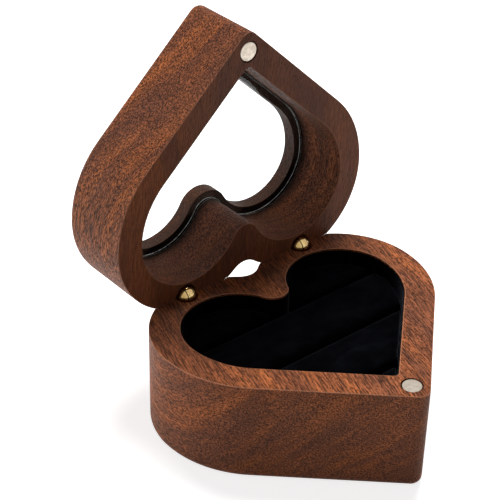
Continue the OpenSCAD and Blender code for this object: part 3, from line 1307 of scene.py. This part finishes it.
@dataclass(frozen=True)
class PadSet:
    """The velvet pads and the slots between them."""

    box: Box
    drop: float = 2.7 * MM
    gap: float = 0.3 * MM
    slot: float = 1.8 * MM
    tip_len: float = 5.8 * MM
    edge: float = 1.7 * MM
    corner: float = 0.9 * MM
    crown: float = 0.5 * MM
    spread: float = 0.2 * MM
    voxel: float = 0.7 * MM
    foot_share: float = 0.6
    enlarge: float = 20.0
    pressure: float = 4.0
    frames: int = 20
    reach: float = 80.0 * MM
    rear_start: float = 3.04 * MM

    def plans(self) -> list[PadPlan]:
        """The five pads, from the lobes to the tip."""
        wall, tip = self.box.base_wall, self.box.cavity_tip
        rear = OUTLINE.hollow_edge(wall, self.box.cavity_notch)
        slot_rear = rear - self.slot
        slot_last = OUTLINE.tip_centre(wall, tip) - tip + self.tip_len
        slot_front = (slot_rear + slot_last) / 2
        far = self.reach
        return [
            PadPlan("left_lobe_velvet", "left_rear_pad", rear, far, Side.LEFT),
            PadPlan("right_lobe_velvet", "right_rear_pad", rear, far, Side.RIGHT),
            PadPlan("middle_velvet", "middle_pad", slot_front + self.slot, slot_rear),
            PadPlan("front_velvet", "front_pad", slot_last + self.slot, slot_front),
            PadPlan("tip_velvet", "tip_pad", -far, slot_last),
        ]

    def build(self, plan: PadPlan) -> Object:
        """Cuts a pad's plan out of the well's outline, raises, rounds, remeshes and swells it.

        Args:
            plan: The pad's name and its stretch of the well.

        Returns:
            The pad.
        """
        bm = bmesh.new()
        ring = Ring(*self.box.cavity(self.box.base_wall, self.gap), self.box.board_top)
        bmesh.ops.contextual_create(bm, geom=OUTLINE.draw(bm, ring))
        slice_off(bm, Vector((0, plan.low, 0)), Vector((0, -1, 0)))
        slice_off(bm, Vector((0, plan.high, 0)), Vector((0, 1, 0)))
        if plan.side is not None:
            out = float(plan.side.value)
            slice_off(bm, Vector((out * self.rear_start, 0, 0)), Vector((-out, 0, 0)))
        self._raise(bm)
        pad = mesh_object(plan.name, bm)
        remesh = pad.modifiers.new("even", "REMESH")
        remesh.mode = "VOXEL"
        remesh.voxel_size = self.voxel
        bake_modifiers(pad)
        self._smooth(pad, rounds=3)
        self._swell(pad)
        self._smooth(pad, rounds=1)
        finer = pad.modifiers.new("finer", "SUBSURF")
        finer.levels = 1
        finer.render_levels = 1
        bake_modifiers(pad)
        return pad

    def _raise(self, bm: BMesh) -> None:
        """Extrudes the plan to the pad's height and rounds its upright and upper edges.

        Args:
            bm: Mesh of the pad's plan.
        """
        height = self.box.base_h - self.drop - self.crown - self.box.board_top
        grown = bmesh.ops.extrude_face_region(bm, geom=bm.faces[:])
        verts = [v for v in grown["geom"] if isinstance(v, BMVert)]
        bmesh.ops.translate(bm, vec=(0.0, 0.0, height), verts=verts)
        bmesh.ops.recalc_face_normals(bm, faces=bm.faces)
        upright = [
            e
            for e in bm.edges
            if abs(e.verts[0].co.z - e.verts[1].co.z) > height / 2
            and e.calc_face_angle(0.0) > SMOOTH_ANGLE
        ]
        bevel(bm, upright, self.corner, 4, clamped=True)
        level = self.box.board_top + height - LEVEL_DIST
        upper = [e for e in bm.edges if all(v.co.z > level for v in e.verts)]
        bevel(bm, upper, self.edge, 5, clamped=True)

    def _smooth(self, pad: Object, rounds: int) -> None:
        """Relaxes a pad's mesh and sets its foot flat on the board.

        Args:
            pad: The pad.
            rounds: Number of times that it is relaxed.
        """
        bm = bmesh.new()
        bm.from_mesh(pad.data)
        axes = {f"use_axis_{axis}": True for axis in "xyz"}
        for _ in range(rounds):
            bmesh.ops.smooth_vert(bm, verts=bm.verts, factor=0.5, **axes)
        low = min(vert.co.z for vert in bm.verts)
        for vert in bm.verts:
            if vert.co.z < low + self.voxel * self.foot_share:
                vert.co.z = self.box.board_top
        for face in bm.faces:
            face.smooth = True
        bm.to_mesh(pad.data)
        bm.free()

    def _swell(self, pad: Object) -> None:
        """Swells a pad as cloth under pressure, many times its size, and caps how far it moves.

        Args:
            pad: The evenly meshed pad, whose foot stays where it is.
        """
        start = [vert.co.copy() for vert in pad.data.vertices]
        pad.data.transform(Matrix.Scale(self.enlarge, 4))
        foot = pad.vertex_groups.new(name="foot")
        level = self.box.board_top + self.voxel
        foot.add([i for i, place in enumerate(start) if place.z < level], 1.0, "REPLACE")
        cloth = pad.modifiers.new("swell", "CLOTH")
        cloth.settings.use_pressure = True
        cloth.settings.uniform_pressure_force = self.pressure
        cloth.settings.vertex_group_mass = foot.name
        cloth.settings.effector_weights.gravity = 0.0
        cloth.point_cache.frame_start = 1
        cloth.point_cache.frame_end = self.frames
        for frame in range(1, self.frames + 1):
            bpy.context.scene.frame_set(frame)
        bake_modifiers(pad)
        bpy.context.scene.frame_set(1)
        pad.vertex_groups.clear()
        for vert, place in zip(pad.data.vertices, start):
            move = vert.co / self.enlarge - place
            side = Vector((move.x, move.y, 0.0))
            if side.length > self.spread:
                side = side.normalized() * self.spread
            rise = min(self.crown, max(-self.spread, move.z))
            vert.co = place + side + UP * rise


def dress(obj: Object, material: Material) -> None:
    """Gives an object one material."""
    obj.data.materials.clear()
    obj.data.materials.append(material)


def place_piece(piece: Object, half: Half, slot: Slot, material: Material, *nodes: str) -> None:
    """Dresses a modelled piece, puts it on its body and lets it stand for its solids.

    Args:
        piece: The modelled piece.
        half: Body that it rides on.
        slot: Material slot of the record. Not used.
        material: Its finish.
        nodes: CAD nodes that it stands for.
    """
    dress(piece, material)
    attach(piece, half.value)
    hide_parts(*nodes)
    LOG.info("%s: %d faces, for %s", piece.name, len(piece.data.polygons), ", ".join(nodes))


@dataclass(frozen=True)
class Lamp:
    """A round soft lamp: its name, place, diameter in metres and power in watts."""

    name: str
    place: Vector
    size: float
    power: float


@dataclass(frozen=True)
class Studio:
    """White table, soft lights and the camera."""

    azimuth: float = math.radians(41.47)
    elevation: float = math.radians(33.78)
    roll: float = math.radians(2.0)
    distance: float = 322.19 * MM
    focal_px: float = 1501.0
    aside: float = -11.60 * MM
    height: float = 37.53 * MM
    centre_px: Pair = (275.0, 275.0)
    frame_px: float = 500.0
    sensor: float = 36.0
    clip: Pair = (0.01, 20.0)
    top_lamp: Lamp = Lamp("top_light", Vector((0.22, 0.32, 0.76)), 0.50, 9.3)
    left_lamp: Lamp = Lamp("left_light", Vector((-0.72, 0.45, 0.25)), 0.50, 3.5)
    lamp_aim: Vector = Vector((0.0, 0.0, 30.0 * MM))
    ambient: float = 0.12
    table: float = 3.0

    def camera(self) -> None:
        """Adds the camera at the photograph's angle."""
        sin_a, cos_a = math.sin(self.azimuth), math.cos(self.azimuth)
        sin_e, cos_e = math.sin(self.elevation), math.cos(self.elevation)
        forward = Vector((sin_a * cos_e, cos_a * cos_e, -sin_e))
        level = Vector((cos_a, -sin_a, 0.0))
        upright = level.cross(forward)
        right = level * math.cos(self.roll) + upright * math.sin(self.roll)
        up = upright * math.cos(self.roll) - level * math.sin(self.roll)
        target = level * self.aside + UP * self.height
        data = bpy.data.cameras.new("camera")
        data.sensor_width = self.sensor
        data.lens = self.focal_px / self.frame_px * self.sensor
        data.shift_x = (self.frame_px / 2 - self.centre_px[0]) / self.frame_px
        data.shift_y = (self.centre_px[1] - self.frame_px / 2) / self.frame_px
        data.clip_start, data.clip_end = self.clip
        axes = Matrix((right, up, -forward)).transposed().to_4x4()
        place = Matrix.Translation(target - forward * self.distance) @ axes
        bpy.context.scene.camera = linked("camera", data, place)

    def light(self, lamp: Lamp) -> Object:
        """Adds one lamp, turned to the box.

        Args:
            lamp: The lamp.

        Returns:
            Its object.
        """
        data = bpy.data.lights.new(lamp.name, "AREA")
        data.shape = "DISK"
        data.size = lamp.size
        data.energy = lamp.power
        turn = (lamp.place - self.lamp_aim).to_track_quat("Z", "Y").to_matrix().to_4x4()
        return linked(lamp.name, data, Matrix.Translation(lamp.place) @ turn)

    def lights(self, table: Object) -> None:
        """Adds the lamps. Only the top one lights the table and gives the box a shadow there.

        Args:
            table: The table.
        """
        spared = bpy.data.collections.new("table_only")
        spared.objects.link(table)
        spared.collection_objects[0].light_linking.link_state = "EXCLUDE"
        self.light(self.top_lamp).visible_glossy = False
        self.light(self.left_lamp).light_linking.receiver_collection = spared

    def world(self) -> None:
        """Makes the background white where it shows and dim as a light."""
        world = bpy.data.worlds.new("studio")
        bpy.context.scene.world = world
        world.use_nodes = True
        g = Graph(world.node_tree)
        strength = g.span(g.seen(), 0.0, 1.0, self.ambient, 1.0)
        back = g.add("Background", Color=WHITE, Strength=strength)
        g.add("OutputWorld", Surface=back.outputs[0])

    def floor(self, groups: Groups) -> Object:
        """Adds the white table, which keeps the box's shadow.

        Args:
            groups: The shader node groups.

        Returns:
            The table.
        """
        bm = bmesh.new()
        bmesh.ops.create_grid(bm, x_segments=1, y_segments=1, size=self.table)
        table = mesh_object("table", bm)
        dress(table, TableFinish().build(groups))
        return table

    def build(self, groups: Groups) -> None:
        """Builds the whole studio.

        Args:
            groups: The shader node groups.
        """
        bpy.context.scene.view_settings.view_transform = "Standard"
        self.camera()
        self.world()
        self.lights(self.floor(groups))


WALNUT = {
    Half.BASE: WalnutFinish(
        name="walnut_base",
        fibres=Vector((-0.28, -0.96, -0.05)),
        rings=Vector((-0.70, 0.20, 0.69)),
        offset=Vector((3.0, 11.0, 5.0)),
    ),
    Half.LID: WalnutFinish(
        name="walnut_lid",
        fibres=Vector((0.10, -0.08, 0.99)),
        rings=Vector((0.30, 0.95, 0.10)),
        offset=Vector((21.0, -7.0, 13.0)),
        light=(0.205, 0.066, 0.027, 1.0),
        warm=(0.250, 0.073, 0.022, 1.0),
        dark=(0.092, 0.031, 0.017, 1.0),
        pore=(0.022, 0.008, 0.004, 1.0),
        # Painted highlight along the lid's rounded edges.
        edge_highlight=(0.360, 0.150, 0.085, 1.0),
        ring_depth=0.34,
        shade_range=(0.36, 1.9),
        relief=0.25 * MM,
        planed=Vector((0.0, 1.0, 0.0)),
    ),
}
VELVET = MarkedFinish(
    name="black_velvet",
    marks=Marks.CLOTH,
    colour=(0.0006, 0.0007, 0.0010, 1.0),
    patch=(0.0018, 0.0020, 0.0027, 1.0),
    roughness=0.95,
    relief=0.06 * MM,
    strength=0.6,
    extras={
        "Specular_IOR_Level": 0.0,
        "Sheen_Weight": 0.05,
        "Sheen_Roughness": 0.38,
        "Sheen_Tint": (0.75, 0.82, 1.0, 1.0),
    },
)
BOARD = MarkedFinish(
    name="black_board",
    marks=Marks.CLOTH,
    colour=(0.012, 0.012, 0.014, 1.0),
    patch=(0.02, 0.02, 0.022, 1.0),
    roughness=0.8,
    relief=0.03 * MM,
    strength=0.3,
)
SAWN_EDGE = MarkedFinish(
    name="pane_edge",
    marks=Marks.METAL,
    colour=(0.42, 0.44, 0.43, 1.0),
    patch=(0.06, 0.065, 0.065, 1.0),
    roughness=0.5,
    relief=0.02 * MM,
    strength=0.4,
)
NICKEL = MetalFinish(
    name="satin_nickel",
    marks=Marks.METAL,
    colour=(0.66, 0.585, 0.495, 1.0),
    patch=(0.56, 0.49, 0.41, 1.0),
    roughness=0.5,
    relief=0.01 * MM,
    strength=0.2,
)
BRASS = MetalFinish(
    name="polished_brass",
    marks=Marks.METAL,
    colour=(0.74, 0.53, 0.24, 1.0),
    # Tarnish colour of the haze, also painted as shade on the flanks.
    patch=(0.38, 0.25, 0.09, 1.0),
    roughness=0.16,
    relief=0.01 * MM,
    strength=0.12,
    # Painted shade on the hinges' flanks.
    flank_shade_depth=0.8,
)


def build_halves(box: Box, groups: Groups) -> None:
    """Builds the two wooden halves with their magnets, and the lid's pane.

    Args:
        box: Sizes that the pieces share.
        groups: The shader node groups.
    """
    base, lid = BaseShell(box).build(), LidFrame(box)
    place_piece(base, Half.BASE, Slot.WALNUT, WALNUT[Half.BASE].build(groups), "base_shell")
    place_piece(lid.build(), Half.LID, Slot.WALNUT, WALNUT[Half.LID].build(groups), "lid_frame")
    pane = lid.pane()
    place_piece(pane, Half.LID, Slot.PANE, PaneFinish().build(groups), "window_pane")
    lid.frost(pane, SAWN_EDGE.build(groups))
    nickel = NICKEL.build(groups)
    for half in Half:
        place_piece(box.magnet(half), half, Slot.NICKEL, nickel, f"{half.value}_magnet")


def build_cloth(box: Box, groups: Groups) -> None:
    """Builds the lining of the well and the pads.

    Args:
        box: Sizes that the pieces share.
        groups: The shader node groups.
    """
    velvet = VELVET.build(groups)
    lining = WellLining(box).build()
    place_piece(lining, Half.BASE, Slot.VELVET, velvet, "well_lining")
    pads = PadSet(box)
    for plan in pads.plans():
        pad = pads.build(plan)
        place_piece(pad, Half.BASE, Slot.VELVET, velvet, plan.node)


def main() -> None:
    """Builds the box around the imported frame."""
    logging.basicConfig(level=logging.INFO, format="%(name)s %(message)s")
    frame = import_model()
    nodes = frame["nodes"]
    groups, box = Groups(), Box()
    Studio().build(groups)
    build_halves(box, groups)
    build_cloth(box, groups)
    dress(nodes["insert_board"], BOARD.build(groups))
    brass = BRASS.build(groups)
    names = [f"{side.name.lower()}_{part}" for side in Side for part in HINGE_PARTS]
    for name in names:
        dress(nodes[name], brass)
    LOG.info("brass on %s", ", ".join(names))


if __name__ == "__main__":
    main()
